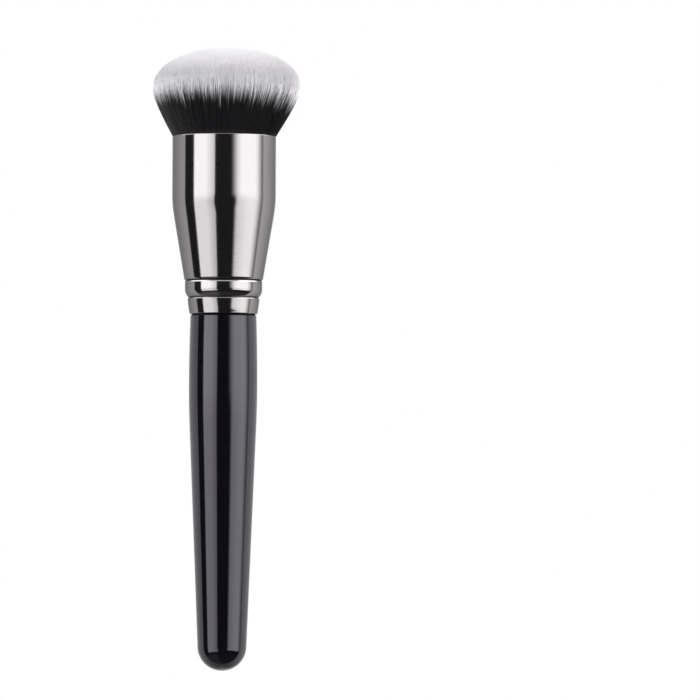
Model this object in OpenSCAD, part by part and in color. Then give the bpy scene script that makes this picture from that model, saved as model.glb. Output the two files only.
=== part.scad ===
// Kabuki face brush: a dense flared tuft in a plated ferrule on a turned, lacquered wooden handle.
// Millimetres. The brush stands on +Z with its butt at the origin and its bristles up.

/* [Handle] */
// Length of the handle that shows, from the butt to the shoulder
handle_len = 95.6; // [80:0.1:120]
// Radius of the round butt
butt_r = 6.6; // [5:0.1:7.5]
// Radius of the belly, the thickest place of the grip
belly_r = 9.25; // [9.1:0.05:11]
// Height of the belly above the butt
belly_z = 76.5; // [55:0.5:78]
// Radius of the long curve that runs from the belly down into the straight taper
belly_curve = 250; // [150:5:400]
// Radius of the handle at its shoulder, just below the ferrule
shoulder_r = 8.78; // [8.72:0.01:9.05]
// Radius of the softened edge round the shoulder
shoulder_edge = 0.5; // [0.2:0.05:0.8]
// Radius of the tenon that is glued into the ferrule
tenon_r = 8.5; // [7.5:0.05:8.55]
// Length of the tenon above the shoulder
tenon_len = 22; // [14:0.5:25]
// Chamfer on the end of the tenon
tenon_chamfer = 0.8; // [0.3:0.1:1.5]

/* [Ferrule] */
// Outer radius of the straight barrel that holds the bristles
barrel_r = 14; // [13:0.1:16]
// Length of the barrel, from the corner of the taper to the rim
barrel_len = 18.5; // [18:0.1:26]
// Length of the taper between the barrel and the upper groove
taper_len = 20.4; // [14:0.1:26]
// Radius at the narrow end of the taper
taper_end_r = 10.62; // [10.5:0.01:11.5]
// Radius of the bend between taper and barrel
knee_r = 35; // [15:1:45]
// Radius of the raised band between the two grooves
band_r = 10.45; // [10.2:0.01:11]
// Length of the band, from groove to groove
band_len = 4.6; // [3.6:0.1:7]
// Length of the band's rounded foot
band_foot_len = 2.3; // [1:0.1:2.6]
// Radius at the top of the collar below the band
collar_r = 9.72; // [9.5:0.01:10]
// Length of the collar, from the lip to the lower groove
collar_len = 4.4; // [3:0.1:7]
// Outer radius of the lip at the collar's end
lip_r = 9.05; // [9.02:0.01:9.3]
// Depth of the two rolled grooves
groove_depth = 0.22; // [0.1:0.01:0.3]
// Width of the two rolled grooves
groove_w = 0.5; // [0.3:0.05:0.8]
// Thickness of the ferrule's metal
wall = 0.4; // [0.3:0.01:0.45]
// Open seam between the lip and the handle's shoulder
seam = 0.3; // [0.1:0.05:0.6]

/* [Bristles] */
// Largest radius of the tuft, at its shoulder
tuft_r = 19.86; // [17:0.01:23]
// Height of the tuft's widest place above the rim
flare_h = 13.2; // [9:0.1:18]
// Height of the dome above the tuft's widest place
dome_h = 10.7; // [5:0.1:14]
// Fullness of the dome: 2 is an ellipse, more is squarer
dome_power = 2.15; // [1.8:0.05:3]
// How early the bristles fan out: 1 is a straight cone, more bends them out at the rim
flare_power = 1.25; // [1:0.05:1.8]
// Rings of strands round the middle one; ring k holds 6 times k strands
ring_count = 10; // [10:1:11]
// Depth of the bristles' roots below the rim
root_depth = 10.5; // [8:0.1:11]
// Thickness of each strand as a share of the spacing between rings
strand_fill = 0.57; // [0.4:0.01:0.59]
// Length of the strands' pointed tips
tip_len = 2.3; // [1:0.1:4]
// Where the dark roots end and the pale tips begin, as a share of a strand's height without its tip
dye_share = 0.66; // [0.3:0.01:0.8]

/* [Inside the ferrule] */
// Height of the slice of resin that the strands stand in
slice_h = 1; // [0.8:0.1:1.5]
// Height of the rest of the resin, under the slice
resin_h = 4; // [2:0.1:6]
// Thickness of the thread tied round the roots
tie_d = 0.7; // [0.4:0.05:0.8]
// Turns of the thread
tie_turns = 3; // [2:1:4]
// Gap that is left round the strands and the thread
strand_gap = 0.1; // [0.05:0.01:0.2]

/* [Hidden] */
$fn = 96;

// Steps that a quarter turn of a small round edge is drawn with
edge_steps = 6;
// Steps that each long curve of the handle and ferrule is drawn with
curve_steps = 10;

// Heights along the brush
lip_z = handle_len + seam;
lower_groove_z = lip_z + collar_len;
upper_groove_z = lower_groove_z + band_len;
knee_z = upper_groove_z + taper_len;
rim_z = knee_z + barrel_len;
root_z = rim_z - root_depth;
resin_top_z = root_z - slice_h;

// A point at an angle on a circle in the profile plane, and a run of such points
function on_arc(centre, r, a) = centre + r * [cos(a), sin(a)];
function arc(centre, r, a0, a1, steps) =
    [for (i = [0 : steps]) on_arc(centre, r, a0 + (a1 - a0) * i / steps)];
function reversed(list) = [for (i = [len(list) - 1 : -1 : 0]) list[i]];

// Handle: a round butt, a straight taper tangent to it, and a belly that falls off to the shoulder
butt_c = [0, butt_r];
lower_c = [belly_r - belly_curve, belly_z];
centre_line = lower_c - butt_c;
taper_angle = atan2(centre_line[1], centre_line[0])
    - acos((butt_r - belly_curve) / norm(centre_line));
shoulder_h = handle_len - belly_z;
shoulder_drop = belly_r - shoulder_r;
upper_curve = (pow(shoulder_h, 2) + pow(shoulder_drop, 2)) / (2 * shoulder_drop);
upper_c = [belly_r - upper_curve, belly_z];
edge_angle = asin((shoulder_h - shoulder_edge) / upper_curve);
edge_c = on_arc(upper_c, upper_curve, edge_angle) - [shoulder_edge, 0];
tenon_top = handle_len + tenon_len;

module handle() {
    color([0.03, 0.03, 0.045])
        rotate_extrude()
            polygon(concat(
                arc(butt_c, butt_r, -90, taper_angle, 2 * edge_steps),
                arc(lower_c, belly_curve, taper_angle, 0, curve_steps),
                arc(upper_c, upper_curve, edge_angle / curve_steps, edge_angle, curve_steps - 1),
                arc(edge_c, shoulder_edge, 90 / edge_steps, 90, edge_steps - 1),
                [
                    [tenon_r, handle_len],
                    [tenon_r, tenon_top - tenon_chamfer],
                    [tenon_r - tenon_chamfer, tenon_top],
                    [0, tenon_top]
                ]
            ));
}

// Ferrule: one tube, so each line of its outside is repeated on its inside one wall further in
edge_r = wall / 2;
knee_turn = atan((barrel_r - taper_end_r) / (taper_len - groove_w / 2));
knee_half = knee_r * tan(knee_turn / 2);
band_drop = band_r - collar_r;

// A rolled groove about a height, between the radii of the surfaces below and above it
function groove(r0, r1, z) =
    [for (i = [0 : edge_steps])
        let (s = i / edge_steps)
            [r0 + (r1 - r0) * s - groove_depth * sin(180 * s), z + groove_w * (s - 0.5)]];

// The band's rounded foot, as a curve that swells from the collar's radius to the band's
function band_foot(steps) =
    [for (i = [1 : steps])
        let (s = i / steps)
            [collar_r + band_drop * (1 - pow(1 - s, 2)),
             lower_groove_z + groove_w / 2 + (band_foot_len - groove_w / 2) * s]];

// The outside from just above the lip to just below the rim
ferrule_line = concat(
    [[lip_r, lip_z + edge_r]],
    groove(collar_r, collar_r, lower_groove_z),
    band_foot(edge_steps),
    groove(band_r, taper_end_r, upper_groove_z),
    arc([barrel_r - knee_r, knee_z + knee_half], knee_r, -knee_turn, 0, curve_steps),
    [[barrel_r, rim_z - edge_r]]
);
cavity_line = [for (p = ferrule_line) p - [wall, 0]];

module ferrule() {
    color([0.42, 0.41, 0.42])
        rotate_extrude()
            polygon(concat(
                arc([lip_r - edge_r, lip_z + edge_r], edge_r, -180, 0, 2 * edge_steps),
                ferrule_line,
                arc([barrel_r - edge_r, rim_z - edge_r], edge_r, 0, 180, 2 * edge_steps),
                reversed(cavity_line)
            ));
}

// What fills the ferrule between two heights
module cavity(z0, z1) {
    intersection() {
        rotate_extrude()
            polygon(concat([[0, lip_z + edge_r]], cavity_line, [[0, rim_z - edge_r]]));
        translate([0, 0, z0])
            cylinder(r = 2 * barrel_r, h = z1 - z0);
    }
}

// Glue between the tenon and the narrow end of the ferrule
module tenon_glue() {
    color([0.75, 0.62, 0.38])
        difference() {
            cavity(lip_z + 2 * edge_r, upper_groove_z);
            translate([0, 0, lip_z])
                cylinder(r = tenon_r, h = tenon_len);
        }
}

// Resin that was poured on the roots, under the slice that the strands stand in
module root_resin() {
    color([0.8, 0.72, 0.5])
        cavity(resin_top_z - resin_h, resin_top_z);
}

// Thread that holds the roots together until the resin has set
cavity_r = barrel_r - wall;
tie_r = cavity_r - strand_gap - tie_d / 2;
// The turns are pulled a little into each other
tie_pitch = 0.9 * tie_d;
tie_z = root_z + tie_d;
tie_top_z = tie_z + tie_pitch * (tie_turns - 1) + tie_d / 2;

module root_tie() {
    color("ivory")
        rotate_extrude()
            for (turn = [0 : tie_turns - 1])
                translate([tie_r, tie_z + tie_pitch * turn])
                    circle(d = tie_d, $fn = 24);
}

// Strands: ring k of the pattern lies at k / ring_count of the fan's radius at every height.
// A strand has a flat side outwards, which lies this much further out than its middle,
// for a fan radius of 1.
flat_share = 1 + strand_fill / 2 / ring_count;
// The strands' ends are sunk into the slice of resin to half its height
strand_base_z = root_z - slice_h / 2;

// The fan's radius at the roots, so that the outer strands pass inside the whole tie
rim_fan = (cavity_r - strand_gap) / flat_share;
tie_fan = (tie_r - tie_d / 2 - strand_gap) / flat_share;
tie_share = (tie_top_z - strand_base_z) / (rim_z - strand_base_z);
root_fan = (tie_fan - rim_fan * tie_share) / (1 - tie_share);

// The fan's radius where the tips begin, and at the points, which draw in a little
full_fan = tuft_r / flat_share;
draw_in = 0.006;
point_fan = (1 - draw_in) * full_fan;

// Colours of the fibres at their roots and tips
root_colour = [0.08, 0.07, 0.08];
tip_colour = [0.88, 0.88, 0.9];

// Height of the dome above the rim at a distance from the axis
function dome_z(r) = flare_h + dome_h * pow(1 - pow(r / tuft_r, dome_power), 1 / dome_power);
// Fan radius at a share of the way from the rim to where the tips begin
function fan(s) = rim_fan + (full_fan - rim_fan) * (1 - pow(1 - s, flare_power));

// Faces of a stack of triangles, closed by a flat end below, and by a flat end or a point above
function stack_faces(count, pointed) =
    let (top = 3 * (count - 1))
        concat(
            [[0, 1, 2]],
            [for (low = [0 : 3 : top - 3], side = [0 : 2], half = [0, 1])
                let (a = low + side, b = low + (side + 1) % 3)
                    half == 0 ? [a, a + 3, b + 3] : [a, b + 3, b]],
            pointed
                ? [for (side = [0 : 2]) [top + side, top + 3, top + (side + 1) % 3]]
                : [[top + 2, top + 1, top]]
        );

// A length of one strand, through a list of fan radii and heights, and on to a point if given
module strand_part(place, levels, point = []) {
    polyhedron(
        points = concat(
            [for (level = levels, a = [60, 180, 300])
                let (r = strand_fill * level[0] / ring_count)
                    [place * level[0] + r * cos(a), r * sin(a), level[1]]],
            point
        ),
        faces = stack_faces(len(levels), len(point) > 0)
    );
}

// A three-sided strand that leans out along +X, dark at its root and pale at its tip
module strand(place) {
    point_r = place * point_fan;
    body_h = dome_z(point_r) - tip_len;
    dye_level = [fan(dye_share), rim_z + dye_share * body_h];
    color(root_colour)
        strand_part(place, [[root_fan, strand_base_z], [rim_fan, rim_z], dye_level]);
    color(tip_colour)
        strand_part(
            place,
            [dye_level, [full_fan, rim_z + body_h]],
            [[point_r, 0, rim_z + dome_z(point_r)]]
        );
}

module bristles() {
    color(root_colour)
        cavity(resin_top_z, root_z);
    rotate([0, 0, 30])
        strand(0);
    for (k = [1 : ring_count], j = [0 : 6 * k - 1])
        rotate([0, 0, 60 * (j + (k % 2) / 2) / k])
            strand(k / ring_count);
}

handle();
tenon_glue();
ferrule();
root_resin();
root_tie();
bristles();
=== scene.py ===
# %% [markdown]
# # A kabuki face brush, from its grip to its fibres
#
# A kabuki brush has three things to look at: a lacquered wooden grip, a plated metal tube called
# the ferrule, and a dense tuft of fibres, dark at the roots and white at the tips. The CAD model
# gives every size. This script loads it as a fixed frame and dresses it: turned shapes for the
# handle and the ferrule, tens of thousands of single fibres for the tuft, and a studio to see
# them in.

import math

import bmesh
import bpy
import numpy as np
from mathutils import Matrix, Vector


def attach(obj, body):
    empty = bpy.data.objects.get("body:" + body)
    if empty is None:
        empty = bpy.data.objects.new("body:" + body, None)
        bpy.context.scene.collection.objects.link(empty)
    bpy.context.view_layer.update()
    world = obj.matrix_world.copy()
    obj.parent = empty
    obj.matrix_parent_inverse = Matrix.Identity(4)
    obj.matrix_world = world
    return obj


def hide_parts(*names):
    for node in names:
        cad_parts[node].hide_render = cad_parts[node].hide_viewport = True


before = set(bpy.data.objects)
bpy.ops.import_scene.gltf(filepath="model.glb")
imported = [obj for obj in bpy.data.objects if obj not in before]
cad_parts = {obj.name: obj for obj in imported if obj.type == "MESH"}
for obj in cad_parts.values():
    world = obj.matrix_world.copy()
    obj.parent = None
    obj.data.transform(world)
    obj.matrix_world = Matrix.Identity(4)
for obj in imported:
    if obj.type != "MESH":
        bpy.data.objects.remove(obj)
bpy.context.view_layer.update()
print("CAD pieces:", ", ".join(sorted(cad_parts)))

# %% [markdown]
# ## Measures
#
# Blender works in metres here, but a brush is easier to think about in millimetres. So all the
# measures are written in millimetres, as in the CAD source, and they are scaled once, when a
# mesh is made. Only the shoulder, the lip and the collar are a hair wider here, so that the step
# at the seam between grip and ferrule shows as fine as in the photograph.

# %% The brush's measures, in millimetres
MM = 0.001

HANDLE_LEN = 95.6
BUTT_R = 6.6
BELLY_R = 9.25
BELLY_Z = 76.5
BELLY_CURVE = 250.0
SHOULDER_R = 8.92
SHOULDER_EDGE = 0.2
TENON_R = 8.5
TENON_TOP = 117.6
TENON_CHAMFER = 0.8

LIP_R, LIP_Z = 9.18, 95.9
COLLAR_R, COLLAR_BULGE = 9.72, 0.06
BAND_R = 10.45
BAND_FOOT_LEN = 2.3
TAPER_END_R = 10.62
LOWER_GROOVE_Z, UPPER_GROOVE_Z = 100.3, 104.9
GROOVE_DEPTH, GROOVE_W = 0.22, 0.5
KNEE_R, KNEE_Z = 35.0, 125.3
BARREL_R, RIM_Z = 14.0, 143.8
WALL = 0.4

TUFT_R = 19.86
FLARE_H, FLARE_POWER = 13.2, 1.25
DOME_H, DOME_POWER = 10.7, 2.15
print("rim of the ferrule at", RIM_Z, "mm, top of the tuft at", RIM_Z + FLARE_H + DOME_H, "mm")

# %% [markdown]
# ## Camera
#
# The photograph was taken with a long lens, so the brush shows little perspective. The rim of the
# ferrule curves upwards in the picture, and the grooves and the seam below it curve less and less:
# the camera stood low, about level with the lower half of the grip. A camera 1.5 m away and 50 mm
# below the middle of the picture gives the same curves. It is moved to the right, not turned, so
# that the brush stands at the left.

# %% Place the camera
FRAME_WIDTH = 188.4    # millimetres of the brush's plane that the picture spans
CAMERA_DISTANCE = 1500.0
CAMERA_RISE = -2.0     # degrees above the horizon
PICTURE_X, PICTURE_Z = 34.1, 86.4    # the middle of the picture
SENSOR_WIDTH = 36      # millimetres
CAMERA_ROLL = 0.22     # degrees that the brush leans to the right in the picture

rise = math.radians(CAMERA_RISE)
look = Vector((0, math.cos(rise), -math.sin(rise)))
camera_data = bpy.data.cameras.new("camera")
camera_data.sensor_width = SENSOR_WIDTH
camera_data.lens = SENSOR_WIDTH * CAMERA_DISTANCE / FRAME_WIDTH
camera_data.clip_end = 20
camera = bpy.data.objects.new("camera", camera_data)
camera.location = (Vector((PICTURE_X, 0, PICTURE_Z)) - look * CAMERA_DISTANCE) * MM
roll = Matrix.Rotation(math.radians(CAMERA_ROLL), 3, "Z").to_quaternion()
camera.rotation_euler = (look.to_track_quat("-Z", "Y") @ roll).to_euler()
bpy.context.scene.collection.objects.link(camera)
bpy.context.scene.camera = camera
bpy.context.scene.view_settings.view_transform = "Standard"
print("lens", round(camera_data.lens), "mm at", CAMERA_DISTANCE / 1000, "m")

# %% [markdown]
# ## Node helpers
#
# Every finish below is a small graph of nodes. A few short helpers keep the graphs readable: they
# add a node and fill in its inputs, do one step of arithmetic, ease from one value to another,
# start a new material, and mix two colours.

# %% Helpers for node graphs
def add_node(tree, kind, settings=None, inputs=None):
    """Adds a node; inputs maps a socket to a value or to another node's output."""
    made = tree.nodes.new(kind)
    for name, value in (settings or {}).items():
        setattr(made, name, value)
    for name, value in (inputs or {}).items():
        if isinstance(value, bpy.types.NodeSocket):
            tree.links.new(value, made.inputs[name])
        else:
            made.inputs[name].default_value = value
    return made


def calc(tree, operation, a, b=0.0):
    """One step of arithmetic on two values or outputs."""
    return add_node(tree, "ShaderNodeMath", {"operation": operation}, {0: a, 1: b}).outputs[0]


def ease(tree, value, low, high, start=0.0, end=1.0, curve="SMOOTHSTEP"):
    """start below low, end above high, and a soft step between them."""
    return add_node(tree, "ShaderNodeMapRange", {"interpolation_type": curve},
                    {"Value": value, "From Min": low, "From Max": high,
                     "To Min": start, "To Max": end}).outputs["Result"]


def new_finish(name):
    """A material with one Principled shader; returns the material, its tree and the shader."""
    material = bpy.data.materials.new(name)
    material.use_nodes = True
    tree = material.node_tree
    tree.nodes.clear()
    shader = tree.nodes.new("ShaderNodeBsdfPrincipled")
    output = tree.nodes.new("ShaderNodeOutputMaterial")
    tree.links.new(shader.outputs[0], output.inputs["Surface"])
    return material, tree, shader


def mix_colours(tree, share, a, b):
    """Colour a at share 0 and b at share 1; each is three numbers or an output."""
    made = add_node(tree, "ShaderNodeMix", {"data_type": "RGBA"})
    for index, value in ((0, share), (6, a), (7, b)):
        if isinstance(value, bpy.types.NodeSocket):
            tree.links.new(value, made.inputs[index])
        else:
            made.inputs[index].default_value = (*value, 1) if index else value
    return made.outputs[2]


print("node helpers ready")

# %% [markdown]
# ## Studio
#
# Polished metal is only as good as what it mirrors. The photograph shows two tall softboxes as
# white stripes on the ferrule, a dark room between them, and a white wall behind the brush that
# greys the two sides. The sky carries all of it here, painted by compass direction: a direction's
# azimuth is 0 towards the camera and grows to the right, and its elevation is 0 at the horizon,
# both in degrees. Each light is a product of soft limits, and where lights overlap, the brightest
# one counts.

# %% The sky's directions
world = bpy.data.worlds.new("studio")
bpy.context.scene.world = world
world.use_nodes = True
sky = world.node_tree
sky.nodes.clear()
direction = add_node(sky, "ShaderNodeSeparateXYZ", inputs={
    "Vector": add_node(sky, "ShaderNodeTexCoord").outputs["Generated"]})
x, y, z = direction.outputs
azimuth = calc(sky, "DEGREES", calc(sky, "ARCTAN2", x, calc(sky, "MULTIPLY", y, -1.0)))
elevation = calc(sky, "DEGREES", calc(sky, "ARCSINE", z))


def product(tree, *factors):
    result = factors[0]
    for factor in factors[1:]:
        result = calc(tree, "MULTIPLY", result, factor)
    return result


def brightest(tree, *lights):
    result = lights[0]
    for light in lights[1:]:
        result = calc(tree, "MAXIMUM", result, light)
    return result


print("azimuth and elevation take", len(sky.nodes), "nodes")

# %% [markdown]
# The stripes show where the softboxes end. The barrel mirrors what is about 4 degrees above the
# horizon, the taper 14 degrees below it, and the grip lies in between, so each edge is set by its
# elevation. Below the horizon both boxes are a little dimmer, and the right one has a sharper
# edge. They end where the stripes end on the round butt, the right one with a cut corner.

# %% The left softbox
LEFT_BOX, RIGHT_BOX = 4.2, 4.2

box_top = ease(sky, elevation, 12, 22, 1, 0)
left_az = calc(sky, "ADD", azimuth, ease(sky, elevation, -5, 6, 1.8, 0))
left_az = calc(sky, "SUBTRACT", left_az, ease(sky, elevation, -16, -5, 3.3, 0))
left = product(
    sky,
    ease(sky, azimuth, -71, -67),                       # the outer edge
    ease(sky, left_az, -20.5, -17.5, 1, 0),             # the inner edge
    ease(sky, left_az, -40, -18, 1, 0.55, "LINEAR"),    # dimmer towards the inner edge
    ease(sky, elevation, -28, -19),                     # the lower end
    ease(sky, elevation, -5, 3, 0.74, 1),
    box_top, LEFT_BOX)
print("left softbox at strength", LEFT_BOX)

# %% The right softbox
soft_edge = ease(sky, azimuth, 11.5, 43.5)
sharp_az = calc(sky, "SUBTRACT", azimuth, ease(sky, elevation, -13, -5, 1.5, 3.2))
sharp_edge = calc(sky, "ADD", ease(sky, sharp_az, 20, 32, 0, 0.75),
                  ease(sky, azimuth, 30, 60, 0, 0.25, "LINEAR"))
edge = add_node(sky, "ShaderNodeMix", {"data_type": "FLOAT"}, {
    0: ease(sky, elevation, -3, 3), 2: sharp_edge, 3: soft_edge}).outputs[0]
corner_az = calc(sky, "SUBTRACT", azimuth, ease(sky, elevation, -20, -15, 60, 0))
right = product(
    sky,
    edge,
    ease(sky, corner_az, 10, 30),
    ease(sky, azimuth, 73, 102, 1, 0),                  # the outer edge
    ease(sky, elevation, -19.5, -15.5),                 # the lower end
    ease(sky, elevation, -5, 3, 0.85, 1),
    box_top, RIGHT_BOX)
print("right softbox at strength", RIGHT_BOX)

# %% [markdown]
# The white wall stands behind the brush. The metal's two sides mirror it at a glancing angle, and
# the metal's own colour makes it grey. It is brighter above 20 degrees, where only the tuft sees
# it. The dark floor in front gives back a little light, most of it at the left.

# %% The wall behind and the floor in front
wall_light = product(
    sky,
    ease(sky, elevation, -80, -10, 0.5, 1),
    ease(sky, elevation, 12, 24, 1, 1.7),
    ease(sky, elevation, 36, 56, 1, 0.15),
    ease(sky, calc(sky, "ABSOLUTE", azimuth), 155, 178, 1, 1.7))
wall_left = product(sky, ease(sky, azimuth, -97, -94, 1, 0),
                    ease(sky, azimuth, -150, -100, 0.75, 1.16, "LINEAR"), wall_light)
wall_right = product(sky, ease(sky, azimuth, 93, 101),
                     ease(sky, azimuth, 100, 150, 1.46, 0.8, "LINEAR"), wall_light)
floor_light = product(
    sky,
    ease(sky, elevation, -42, -26, 1, 0),
    ease(sky, azimuth, -100, -85), ease(sky, azimuth, 95, 110, 1, 0),
    ease(sky, azimuth, -30, -12, 0.25, 0.09))
print("wall behind and floor in front ready")

# %% [markdown]
# Upright metal mirrors only what is near the horizon, so light that hangs higher never shows as a
# stripe. It shapes the tuft alone: a band from about 15 to 40 degrees, brighter at both sides,
# because the photographed dome stays pale there, and a faint light from above. A band that went
# higher would burn out the top of the dome.

# %% The upper light
HIGH_FRONT, HIGH_RIGHT = 2.35, 7.7

above = ease(sky, elevation, 12, 22, 0, 0.3)
band = calc(sky, "MULTIPLY", ease(sky, elevation, 12, 20), ease(sky, elevation, 34, 42, 1, 0))
high_front = product(
    sky, band,
    ease(sky, azimuth, -130, -110), ease(sky, azimuth, -60, -35, 2.5, 1),
    ease(sky, azimuth, 110, 130, 1, 0), HIGH_FRONT)
high_right = product(
    sky, band,
    ease(sky, azimuth, 35, 60), ease(sky, azimuth, 115, 135, 1, 0), HIGH_RIGHT)
print("upper light at strength", HIGH_FRONT, "in front and", HIGH_RIGHT, "at the right")

# %% [markdown]
# What no light reaches is the dark room. The camera itself sees plain white behind the brush,
# which adds no light.

# %% Hang the sky
DARK_ROOM = 0.045

light = brightest(sky, left, right, wall_left, wall_right, above, high_front, high_right,
                  floor_light, DARK_ROOM)
seen = add_node(sky, "ShaderNodeLightPath").outputs["Is Camera Ray"]
strength = add_node(sky, "ShaderNodeMix", {"data_type": "FLOAT"}, {0: seen, 2: light, 3: 1.0})
background = add_node(sky, "ShaderNodeBackground", inputs={
    "Color": (1, 1, 1, 1), "Strength": strength.outputs[0]})
sky_out = sky.nodes.new("ShaderNodeOutputWorld")
sky.links.new(background.outputs[0], sky_out.inputs["Surface"])
print("studio sky has", len(sky.nodes), "nodes")

# %% [markdown]
# The floor is a pale sheet of paper well below the brush. From the camera's low angle it doesn't
# show; from above it catches a soft shadow. Gloss doesn't see it: the metal mirrors the sky only.

# %% Lay the floor
FLOOR_DROP, FLOOR_SIZE = 0.3, 3    # metres
FLOOR_WHITE = 0.85                 # share of plain white that the camera sees on it

floor_mesh = bpy.data.meshes.new("floor")
bm = bmesh.new()
bmesh.ops.create_grid(bm, x_segments=1, y_segments=1, size=FLOOR_SIZE)
bmesh.ops.translate(bm, verts=bm.verts, vec=(0, 0, -FLOOR_DROP))
bm.to_mesh(floor_mesh)
bm.free()
floor = bpy.data.objects.new("floor", floor_mesh)
floor.visible_glossy = False
bpy.context.scene.collection.objects.link(floor)

paper, tree, shader = new_finish("floor_paper")
shader.inputs["Base Color"].default_value = (0.92, 0.92, 0.92, 1)
shader.inputs["Roughness"].default_value = 0.9
white = add_node(tree, "ShaderNodeEmission", inputs={"Color": (1, 1, 1, 1), "Strength": 1.0})
seen = add_node(tree, "ShaderNodeLightPath").outputs["Is Camera Ray"]
blend = add_node(tree, "ShaderNodeMixShader", inputs={
    0: calc(tree, "MULTIPLY", seen, FLOOR_WHITE), 1: shader.outputs[0], 2: white.outputs[0]})
tree.links.new(blend.outputs[0], tree.nodes["Material Output"].inputs["Surface"])
floor_mesh.materials.append(paper)
print("floor", FLOOR_DROP, "m below the butt")

# %% [markdown]
# ## Turned shapes
#
# A handle is turned on a lathe and a ferrule is spun, so both are a line swept once round the
# axis. In Blender that is the Spin operator. A mirror finish shows every flat, so the line has
# many points and the spin has many steps, far more than the CAD model's.

# %% A lathe
def arc(centre, radius, start, end, steps):
    """Points on a circle in the (radius, height) plane, angles in degrees."""
    return [(centre[0] + radius * math.cos(math.radians(a)),
             centre[1] + radius * math.sin(math.radians(a)))
            for a in np.linspace(start, end, steps + 1)]


def dense(line, step=0.5):
    """The same line with points at most step apart, so that shading stays true at a corner."""
    points = [line[0]]
    for (r0, z0), (r1, z1) in zip(line, line[1:]):
        parts = max(1, math.ceil(math.hypot(r1 - r0, z1 - z0) / step))
        points += [(r0 + (r1 - r0) * i / parts, z0 + (z1 - z0) * i / parts)
                   for i in range(1, parts + 1)]
    return points


def place_piece(name, mesh, slot, *nodes):
    """Links a finished mesh as a piece of the brush that stands for CAD nodes."""
    piece = bpy.data.objects.new(name, mesh)
    bpy.context.scene.collection.objects.link(piece)
    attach(piece, "root")
    if nodes:
        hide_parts(*nodes)
    return piece


def lathe(name, line, steps, closed):
    """Spins a line of (radius, height) points round the axis; closed joins its two ends."""
    bm = bmesh.new()
    verts = [bm.verts.new((r * MM, 0, height * MM)) for r, height in line]
    ends = list(zip(verts, verts[1:])) + ([(verts[-1], verts[0])] if closed else [])
    edges = [bm.edges.new(pair) for pair in ends]
    bmesh.ops.spin(bm, geom=verts + edges, cent=(0, 0, 0), axis=(0, 0, 1), dvec=(0, 0, 0),
                   angle=2 * math.pi, steps=steps, use_merge=True, use_duplicate=False)
    bmesh.ops.remove_doubles(bm, verts=bm.verts, dist=1e-6)
    bmesh.ops.recalc_face_normals(bm, faces=bm.faces)
    for face in bm.faces:
        face.smooth = True
    mesh = bpy.data.meshes.new(name)
    bm.to_mesh(mesh)
    bm.free()
    print(name, len(mesh.polygons), "faces")
    return mesh


print("lathe ready")

# %% [markdown]
# ## Handle
#
# The grip is turned from hardwood: a round butt, a straight taper, a belly high up where the
# fingers hold it, and a soft shoulder. Its line repeats the CAD model's arcs, which meet without
# a corner. Under the ferrule it goes on as a plain tenon.

# %% The handle's line and shape
butt_centre = (0.0, BUTT_R)
lower_centre = (BELLY_R - BELLY_CURVE, BELLY_Z)
run = (lower_centre[0] - butt_centre[0], lower_centre[1] - butt_centre[1])
taper_angle = math.degrees(math.atan2(run[1], run[0])
                           - math.acos((BUTT_R - BELLY_CURVE) / math.hypot(*run)))
shoulder_h, shoulder_drop = HANDLE_LEN - BELLY_Z, BELLY_R - SHOULDER_R
upper_curve = (shoulder_h**2 + shoulder_drop**2) / (2 * shoulder_drop)
upper_centre = (BELLY_R - upper_curve, BELLY_Z)
edge_angle = math.degrees(math.asin((shoulder_h - SHOULDER_EDGE) / upper_curve))
edge_start = arc(upper_centre, upper_curve, edge_angle, edge_angle, 1)[0]

handle_line = (
    arc(butt_centre, BUTT_R, -90, taper_angle, 28)
    + arc(lower_centre, BELLY_CURVE, taper_angle, 0, 36)
    + arc(upper_centre, upper_curve, edge_angle / 20, edge_angle, 19)
    + arc((edge_start[0] - SHOULDER_EDGE, edge_start[1]), SHOULDER_EDGE, 10, 90, 9)
    + [(TENON_R, HANDLE_LEN), (TENON_R, TENON_TOP - TENON_CHAMFER),
       (TENON_R - TENON_CHAMFER, TENON_TOP), (0.0, TENON_TOP)]
)
handle_mesh = lathe("handle_turned", handle_line, 160, False)
handle = place_piece("handle_turned", handle_mesh, "lacquer", "handle")

# %% [markdown]
# The lacquer is a thick black gloss with a breath of violet. Sprayed lacquer is never quite flat:
# a very fine, low ripple makes the edges of its reflections tremble, which is what tells the
# eye that it is paint and not glass. Right under the ferrule's lip a painted seam shade dulls it.

# %% Black lacquer
SEAM_SHADE_LINE = 0.4     # millimetres of the grip below its shoulder that the painted seam shade dulls

lacquer, tree, shader = new_finish("black_lacquer")
spot = add_node(tree, "ShaderNodeTexCoord").outputs["Object"]
cloud = add_node(tree, "ShaderNodeTexNoise", inputs={"Vector": spot, "Scale": 60.0, "Detail": 3.0})
tint = mix_colours(tree, cloud.outputs["Fac"], (0.0014, 0.0010, 0.0025), (0.0021, 0.0015, 0.0035))
tree.links.new(tint, shader.inputs["Base Color"])
wear = add_node(tree, "ShaderNodeTexNoise", inputs={"Vector": spot, "Scale": 300.0, "Detail": 4.0})
tree.links.new(ease(tree, wear.outputs["Fac"], 0.35, 0.75, 0.06, 0.11, "LINEAR"),
               shader.inputs["Roughness"])
ripple = add_node(tree, "ShaderNodeTexNoise", inputs={
    "Vector": spot, "Scale": 420.0, "Detail": 2.0})
bump = add_node(tree, "ShaderNodeBump", inputs={
    "Strength": 0.25, "Distance": 0.00002, "Height": ripple.outputs["Fac"]})
tree.links.new(bump.outputs[0], shader.inputs["Normal"])
height = add_node(tree, "ShaderNodeSeparateXYZ", inputs={"Vector": spot}).outputs[2]
# painted shade: the gloss is turned down in a thin band under the ferrule's lip, for the seam's
# shadow
tree.links.new(ease(tree, height, (HANDLE_LEN - SEAM_SHADE_LINE) * MM, (HANDLE_LEN - SEAM_SHADE_LINE / 2) * MM,
                    0.5, 0.06), shader.inputs["Specular IOR Level"])
shader.inputs["IOR"].default_value = 1.52
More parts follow.
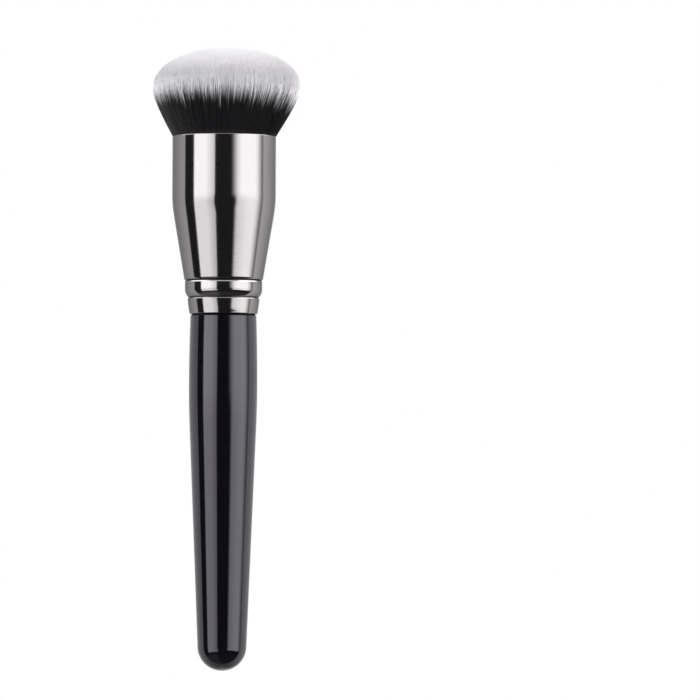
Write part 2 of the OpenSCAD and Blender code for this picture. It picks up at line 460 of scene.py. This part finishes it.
shader.inputs["Specular Tint"].default_value = (0.93, 0.90, 1.0, 1)
handle.data.materials.append(lacquer)
print("lacquer on", handle.name)

# %% [markdown]
# ## Ferrule
#
# The ferrule is one tube of thin metal. It is drawn to the barrel's width, tapered down by
# spinning, and two grooves are rolled into its neck, which leave a raised band between them. The
# line goes up the outside, round the rolled rim and down the inside.

# %% The ferrule's line and shape
edge_r = WALL / 2
knee_turn = math.degrees(math.atan((BARREL_R - TAPER_END_R)
                                   / (KNEE_Z - UPPER_GROOVE_Z - GROOVE_W / 2)))
knee_half = KNEE_R * math.tan(math.radians(knee_turn) / 2)


def groove(low_r, high_r, height):
    """A rolled groove between the radii of the surfaces below and above it."""
    return [(low_r + (high_r - low_r) * s - GROOVE_DEPTH * math.sin(math.pi * s),
             height + GROOVE_W * (s - 0.5)) for s in np.linspace(0, 1, 13)]


collar = [(LIP_R + (COLLAR_R - LIP_R) * s + 4 * COLLAR_BULGE * s * (1 - s),
           LIP_Z + edge_r + (LOWER_GROOVE_Z - GROOVE_W / 2 - LIP_Z - edge_r) * s)
          for s in np.linspace(0, 0.95, 14)]
band_foot = [(COLLAR_R + (BAND_R - COLLAR_R) * (1 - (1 - s)**2),
              LOWER_GROOVE_Z + GROOVE_W / 2 + (BAND_FOOT_LEN - GROOVE_W / 2) * s)
             for s in np.linspace(0.07, 1, 14)]
knee = arc((BARREL_R - KNEE_R, KNEE_Z + knee_half), KNEE_R, -knee_turn, 0, 24)
outside = dense(collar + groove(COLLAR_R, COLLAR_R, LOWER_GROOVE_Z) + band_foot
                + groove(BAND_R, TAPER_END_R, UPPER_GROOVE_Z) + knee + [(BARREL_R, RIM_Z - edge_r)])
inside = [(r - WALL, height) for r, height in outside]
ferrule_line = (
    arc((LIP_R - edge_r, LIP_Z + edge_r), edge_r, -180, 0, 12)[:-1] + outside[:-1]
    + arc((BARREL_R - edge_r, RIM_Z - edge_r), edge_r, 0, 180, 12)[:-1] + inside[:0:-1]
)
ferrule_mesh = lathe("ferrule_spun", ferrule_line, 256, True)
ferrule = place_piece("ferrule_spun", ferrule_mesh, "ferrule_metal", "ferrule")

# %% [markdown]
# The plating is a dark bright nickel: a mirror that gives back less than a quarter of the light.
# Its colour is what turns the white wall into the mid grey at the two sides. Spinning leaves
# hair-fine rings round the tube, so the roughness and a slight bump change with height only.
# A mask on the height makes the two rolled grooves darker, the upper one more.

# %% Dark nickel plating
plating, tree, shader = new_finish("dark_nickel")
spot = add_node(tree, "ShaderNodeTexCoord").outputs["Object"]
rings_at = add_node(tree, "ShaderNodeMapping", inputs={
    "Vector": spot, "Scale": (20.0, 20.0, 2600.0)})
rings = add_node(tree, "ShaderNodeTexNoise", inputs={
    "Vector": rings_at.outputs[0], "Scale": 1.0, "Detail": 3.0})
haze = add_node(tree, "ShaderNodeTexNoise", inputs={"Vector": spot, "Scale": 90.0, "Detail": 4.0})
tone = mix_colours(tree, haze.outputs["Fac"], (0.219, 0.2080, 0.2130), (0.235, 0.2235, 0.2290))
z = add_node(tree, "ShaderNodeSeparateXYZ", inputs={"Vector": spot}).outputs[2]
# darker in the two grooves, the upper one more, by a mask on the height
groove_tone_mask = None
for groove_z, least in ((LOWER_GROOVE_Z, 0.3), (UPPER_GROOVE_Z, 0.15)):
    away = calc(tree, "ABSOLUTE", calc(tree, "SUBTRACT", z, groove_z * MM))
    groove_tone_step = ease(tree, away, 0.15 * MM, 0.32 * MM, least, 1)
    groove_tone_mask = groove_tone_step if groove_tone_mask is None else calc(tree, "MULTIPLY", groove_tone_mask, groove_tone_step)
tree.links.new(mix_colours(tree, groove_tone_mask, (0.012, 0.011, 0.012), tone), shader.inputs["Base Color"])
tree.links.new(ease(tree, rings.outputs["Fac"], 0.3, 0.7, 0.07, 0.11, "LINEAR"),
               shader.inputs["Roughness"])
bump = add_node(tree, "ShaderNodeBump", inputs={
    "Strength": 0.08, "Distance": 0.00001, "Height": rings.outputs["Fac"]})
tree.links.new(bump.outputs[0], shader.inputs["Normal"])
shader.inputs["Metallic"].default_value = 1.0
shader.inputs["Specular Tint"].default_value = (0.6, 0.6, 0.6, 1)
ferrule.data.materials.append(plating)
print("plating on", ferrule.name)

# %% [markdown]
# ## Inside the ferrule
#
# Glue, resin and thread are hidden in a finished brush, but they are there. They keep the CAD
# model's shapes and get simple finishes of their own. Set glue is cloudy, cast resin is amber,
# and thread is rough, and all three are a mix of two close colours with a bump at its own scale.

# %% Glue, resin and thread
def clouded(name, dark, pale, scale, roughness):
    """A finish that drifts between two colours, with a bump to match."""
    material, tree, shader = new_finish(name)
    spot = add_node(tree, "ShaderNodeTexCoord").outputs["Object"]
    cloud = add_node(tree, "ShaderNodeTexNoise", inputs={
        "Vector": spot, "Scale": scale, "Detail": 5.0})
    tree.links.new(mix_colours(tree, cloud.outputs["Fac"], dark, pale), shader.inputs["Base Color"])
    bump = add_node(tree, "ShaderNodeBump", inputs={
        "Strength": 0.4, "Distance": 0.00005, "Height": cloud.outputs["Fac"]})
    tree.links.new(bump.outputs[0], shader.inputs["Normal"])
    shader.inputs["Roughness"].default_value = roughness
    return material


inner_finishes = {
    "tenon_glue": clouded("yellowed_glue", (0.50, 0.38, 0.18), (0.62, 0.50, 0.28), 900.0, 0.35),
    "root_resin": clouded("amber_resin", (0.55, 0.42, 0.20), (0.70, 0.58, 0.34), 500.0, 0.25),
    "root_tie": clouded("cotton_thread", (0.62, 0.58, 0.48), (0.80, 0.77, 0.68), 2500.0, 0.85),
}
for node_name, finish in inner_finishes.items():
    node_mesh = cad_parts[node_name].data
    node_mesh.materials.clear()
    node_mesh.materials.append(finish)
    print(finish.name, "on", node_name)

# %% [markdown]
# ## The tuft's form
#
# The fibres leave the rim as a tight bundle, fan out, and end on a dome. Two curves say all of
# it: the flank that the outermost fibres follow, and the dome that the tips end on. A fibre that
# stands at a share of the rim's radius stays at that share of the flank, until it meets the dome
# and bends in along it.

# %% The flank and the dome, in millimetres above the rim
RIM_GAP = 0.08          # between the outermost fibres and the inside of the rim
BEND_SOFTNESS = 0.12    # how gently a fibre turns in under the dome
FAN_R = BARREL_R - WALL - RIM_GAP


def flank_radius(h):
    s = np.clip(h / FLARE_H, -0.4, 1)
    return FAN_R + (TUFT_R - FAN_R) * np.where(s > 0, 1 - (1 - np.clip(s, 0, 1))**FLARE_POWER, 0.0)


def dome_height(r):
    return FLARE_H + DOME_H * (1 - np.clip(r / TUFT_R, 0, 1)**DOME_POWER)**(1 / DOME_POWER)


def dome_radius(h):
    u = np.clip((h - FLARE_H) / DOME_H, 0, 1)
    return TUFT_R * (1 - u**DOME_POWER)**(1 / DOME_POWER)


def fibre_radius(share, h, sink):
    """Distance from the axis at height h; the fibre bends in to stay sink below the dome."""
    free, roof = share * flank_radius(h), dome_radius(h) - sink
    return 0.5 * (free + roof - np.sqrt((free - roof)**2 + BEND_SOFTNESS**2))


print("widest place", TUFT_R, "mm at", FLARE_H, "mm above the rim")

# %% [markdown]
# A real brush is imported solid, and no light gets through it. Behind the modelled fibres stands a
# plain core, a little smaller than the tuft, that closes the gaps between them with the same
# dark and pale colours.

# %% The core behind the fibres
CORE_SINK = 1.0     # how far the core's top stays below the dome
CORE_INSET = 1.0    # how far its sides stay inside the flank


def core_radius(h):
    roof = dome_radius(h + CORE_SINK * 0.9) - CORE_INSET
    return float(max(0.0, min(flank_radius(h) - CORE_INSET, roof)))


core_heights = np.concatenate([
    np.linspace(-1.0, FLARE_H, 24),
    FLARE_H + (DOME_H - CORE_SINK) * np.sin(np.linspace(0.04, math.pi / 2, 28))])
core_line = [(core_radius(h), RIM_Z + float(h)) for h in core_heights]
core_line = [point for point in core_line if point[0] > 0.3]
core_line = ([(0.0, core_line[0][1])] + core_line
             + [(0.0, RIM_Z + FLARE_H + DOME_H - CORE_SINK)])
core_mesh = lathe("tuft_core", core_line, 128, False)
place_piece("tuft_core", core_mesh, "fibre", "bristles")

# %% [markdown]
# ## Fibres
#
# One fibre is a thin three-sided tube that runs out to a point. It is made once: a triangle that
# is extruded level by level and closed at the tip. An Array modifier then gives thousands of
# copies, and each copy is bent along its own path. Three sides are enough, because a fibre is
# only about a sixth of a millimetre thick.

# %% One fibre, and many copies of it
def fibre_template(name, levels):
    """A fibre of unit thickness along +Z from 0 to 1, with its map: u round it, v along it."""
    bm = bmesh.new()
    ring = bmesh.ops.create_circle(bm, segments=3, radius=1.0)["verts"]
    edges = list(bm.edges)
    for level in levels[1:]:
        made = bmesh.ops.extrude_edge_only(bm, edges=edges)["geom"]
        ring = [g for g in made if isinstance(g, bmesh.types.BMVert)]
        edges = [g for g in made if isinstance(g, bmesh.types.BMEdge)]
        for vert in ring:
            vert.co.z = level
    bmesh.ops.pointmerge(bm, verts=ring, merge_co=(0, 0, 1))
    bmesh.ops.recalc_face_normals(bm, faces=bm.faces)
    uv = bm.loops.layers.uv.new("OFBake")
    for face in bm.faces:
        face.smooth = True
        middle = face.calc_center_median()
        side = round(math.degrees(math.atan2(middle.y, middle.x)) / 120) % 3
        for loop in face.loops:
            co = loop.vert.co
            turn = math.degrees(math.atan2(co.y, co.x)) - side * 120
            turn = (turn + 180) % 360 - 180
            loop[uv].uv = (side + (0.5 if co.z == 1 else (turn > 0)), co.z)
    mesh = bpy.data.meshes.new(name)
    bm.to_mesh(mesh)
    bm.free()
    return mesh


def copies(template, count):
    """A mesh with that many copies of the template, one after the other."""
    seed = bpy.data.objects.new("seed", template)
    bpy.context.scene.collection.objects.link(seed)
    array = seed.modifiers.new("copies", "ARRAY")
    array.count = count
    array.use_relative_offset = False
    bpy.context.view_layer.update()
    depsgraph = bpy.context.evaluated_depsgraph_get()
    mesh = bpy.data.meshes.new_from_object(seed.evaluated_get(depsgraph))
    bpy.data.objects.remove(seed)
    return mesh


long_fibre = fibre_template("long_fibre", [0, 0.06, 0.16, 0.3, 0.46, 0.62, 0.77, 0.9, 1])
short_fibre = fibre_template("short_fibre", [0, 0.45, 0.8, 1])
print("a long fibre has", len(long_fibre.polygons), "faces, a short one", len(short_fibre.polygons))

# %% [markdown]
# Each copy follows its own path: out along the flank, a little sideways, and to the right as the
# whole tuft leans. It thins out towards its tip. Its map is moved as well, so that it tells the
# finish how far above the end of its dye each place of the fibre lies.

# %% Bend the copies along their paths
DYE_SPAN = 40.0     # millimetres of fibre that the map's height stands for
U_WIDTH = 0.006     # width of one side of a fibre on the map
LEAN = 0.045        # the tuft leans a little to the right as it rises


def dye_line(turn):
    """Height above the rim where the dye ends, a little lower at the right."""
    return 9.75 - 0.55 * np.cos(2 * turn) - 0.75 * np.cos(turn)


def map_fibres(mesh, size, heights, dye, tint):
    """Across the map goes each fibre's own number, along it the height above its dye's end."""
    loop_vert = np.empty(len(mesh.loops), np.int32)
    mesh.loops.foreach_get("vertex_index", loop_vert)
    layer = mesh.uv_layers["OFBake"]
    uv = np.empty(len(mesh.loops) * 2, np.float32)
    layer.uv.foreach_get("vector", uv)
    uv = uv.reshape(-1, 2)
    fibre = loop_vert // size
    uv[:, 0] = 0.01 + 0.96 * tint[fibre] + U_WIDTH * uv[:, 0]
    uv[:, 1] = 0.5 + (heights[loop_vert] - dye[fibre]) / DYE_SPAN
    layer.uv.foreach_set("vector", uv.ravel())


def grow(name, template, share, turn, start, end, sink, thickness, sway, dye, tint):
    """Bends one copy of the template per fibre; all the arrays have one value per fibre."""
    count = len(share)
    mesh = copies(template, count)
    size = len(template.vertices)
    local = np.empty(size * 3)
    template.vertices.foreach_get("co", local)
    local = local.reshape(size, 3)
    t = local[None, :, 2]
    side, outward = local[None, :, 1], local[None, :, 0]

    def path(t):
        h = start[:, None] + (end - start)[:, None] * t
        r = fibre_radius(share[:, None], h, sink[:, None])
        angle = turn[:, None] + sway[:, None] * t**2 / np.maximum(r, 2.0)
        return np.stack([r * np.cos(angle), r * np.sin(angle), h], axis=-1), angle

    centre, angle = path(t)
    ahead, _ = path(t + 0.02)
    along = ahead - centre
    along /= np.linalg.norm(along, axis=-1, keepdims=True)
    across = np.stack([-np.sin(angle), np.cos(angle), np.zeros_like(angle)], axis=-1)
    out = np.cross(across, along)
    width = thickness[:, None] * (1 - 0.88 * np.clip((t - 0.45) / 0.55, 0, 1)**1.6)
    place = centre + (width * outward)[..., None] * out + (width * side)[..., None] * across
    place[..., 0] += LEAN * np.clip(centre[..., 2], 0, None)
    place[..., 2] += RIM_Z
    mesh.vertices.foreach_set("co", (place * MM).astype(np.float32).ravel())
    map_fibres(mesh, size, centre[..., 2].ravel(), dye, tint)
    mesh.name = name
    mesh.update()
    print(name, count, "fibres,", len(mesh.polygons), "faces")
    return mesh


print("the dye ends", round(float(dye_line(math.pi / 2)), 2), "mm above the rim, on average")

# %% [markdown]
# The finish of the fibres reads their own map. Its height is the distance from the place where
# the dye stops, so each fibre turns from black to white at its own point, and its width is a
# number from 0 to 1 that makes every fibre a little lighter, darker or warmer than the next.

# %% Two-tone fibre finish
fibre_finish, tree, shader = new_finish("two_tone_fibre")
spot = add_node(tree, "ShaderNodeUVMap", {"uv_map": "OFBake"}).outputs["UV"]
where = add_node(tree, "ShaderNodeSeparateXYZ", inputs={"Vector": spot})
number, height = where.outputs[0], where.outputs[1]
shade = add_node(tree, "ShaderNodeTexNoise", {"noise_dimensions": "1D"}, {
    "W": number, "Scale": 90.0, "Detail": 2.0})
pale = mix_colours(tree, shade.outputs["Fac"], (0.800, 0.783, 0.818), (0.920, 0.908, 0.937))
dark = mix_colours(tree, shade.outputs["Fac"], (0.0028, 0.0026, 0.0034), (0.0080, 0.0065, 0.0088))
dip = ease(tree, height, 0.5 - 1.8 / DYE_SPAN, 0.5 + 3.3 / DYE_SPAN, 0, 0.82)
fade = ease(tree, height, 0.5, 0.5 + 10 / DYE_SPAN, 0, 0.18, "LINEAR")
dyed = calc(tree, "ADD", dip, fade)
tree.links.new(mix_colours(tree, dyed, dark, pale), shader.inputs["Base Color"])
tree.links.new(ease(tree, height, 0.48, 0.56, 0.42, 0.6), shader.inputs["Roughness"])
shader.inputs["Specular IOR Level"].default_value = 0.3
print("fibre finish made")

# %% [markdown]
# Most fibres show only their tips, on the dome, so they are short. The outermost ones are seen
# from root to tip and are long. Chance sets each one's place, length, thickness and dye, and the
# seed is fixed, so the tuft is the same every time. Real fibres gather in small clumps, so
# neighbours lean together and share a little of their dye's height.

# %% Where the fibres lean and where they end
dice = np.random.default_rng(7)
CLUMPS = 800        # places round the tuft that the fibres gather at
STRAYS = 0.07       # share of fibres whose dye has crept further up
ROOF_GAP = 0.12     # spread of the long fibres' depth under the dome
NO_ROOF = -40.0     # a short fibre runs straight out, past any roof


def settle(turn, share, pull):
    """Each fibre leans to the middle of its clump; returns the sideways lean of its tip in mm."""
    cell = np.round(turn / (2 * math.pi) * CLUMPS) * (2 * math.pi) / CLUMPS
    return pull * (cell - turn) * share * TUFT_R


def tips_on_dome(share, count):
    return dome_height(share * TUFT_R) + dice.normal(0.0, 0.08, count)


def tips_on_flank(share, count):
    return np.maximum(dome_height(share * TUFT_R), 14.4) + dice.normal(-0.3, 0.9, count)


print(CLUMPS, "clumps of fibres,", STRAYS, "of the fibres are strays")

# %% Grow the inner and the outer fibres
def make_layer(name, template, count, share_low, share_high, end_of, thickness, from_root):
    turn = dice.uniform(-math.pi, math.pi, count)
    share = np.sqrt(dice.uniform(share_low**2, share_high**2, count))
    end = end_of(share, count)
    start = np.full(count, -1.0) if from_root else end - dice.uniform(6.0, 7.5, count)
    clump = (np.round(turn / (2 * math.pi) * CLUMPS).astype(int) % CLUMPS)
    clump_dye = np.random.default_rng(11).normal(0, 0.55, CLUMPS)[clump]
    dye = dye_line(turn) + clump_dye + dice.normal(0, 0.85, count)
    dye += dice.uniform(1.5, 5.5, count) * (dice.random(count) < STRAYS)
    sway = settle(turn, share, 0.3) + dice.normal(0, 0.2, count)
    if from_root:
        sink = np.abs(dice.normal(0, ROOF_GAP, count))
    else:
        sink = np.full(count, NO_ROOF)
    mesh = grow(name, template, share, turn, start, end, sink,
                thickness * dice.uniform(0.85, 1.15, count), sway, dye, dice.random(count))
    mesh.materials.clear()
    mesh.materials.append(fibre_finish)
    place_piece(name, mesh, "fibre", "bristles")


for layer in range(3):
    make_layer(f"inner_fibres_{layer}", short_fibre, 12000, 0.0, 0.98, tips_on_dome, 0.08, False)
for layer in range(4):
    make_layer(f"outer_fibres_{layer}", long_fibre, 4200, 0.92, 1.02, tips_on_flank, 0.078, True)

# %% Colour the core with the same finish
CORE_DYE_RISE = 2.0    # the core's dye ends this much above the fibres'

core_uv = core_mesh.uv_layers.new(name="OFBake")
for polygon in core_mesh.polygons:
    for index in polygon.loop_indices:
        co = core_mesh.vertices[core_mesh.loops[index].vertex_index].co
        turn = math.atan2(co.y, co.x)
        above_dye = co.z / MM - RIM_Z - float(dye_line(turn)) - CORE_DYE_RISE
        core_uv.uv[index].vector = (0.5 + 0.4 * math.sin(turn), 0.5 + above_dye / DYE_SPAN)
core_mesh.materials.append(fibre_finish)
print("core coloured with", fibre_finish.name)
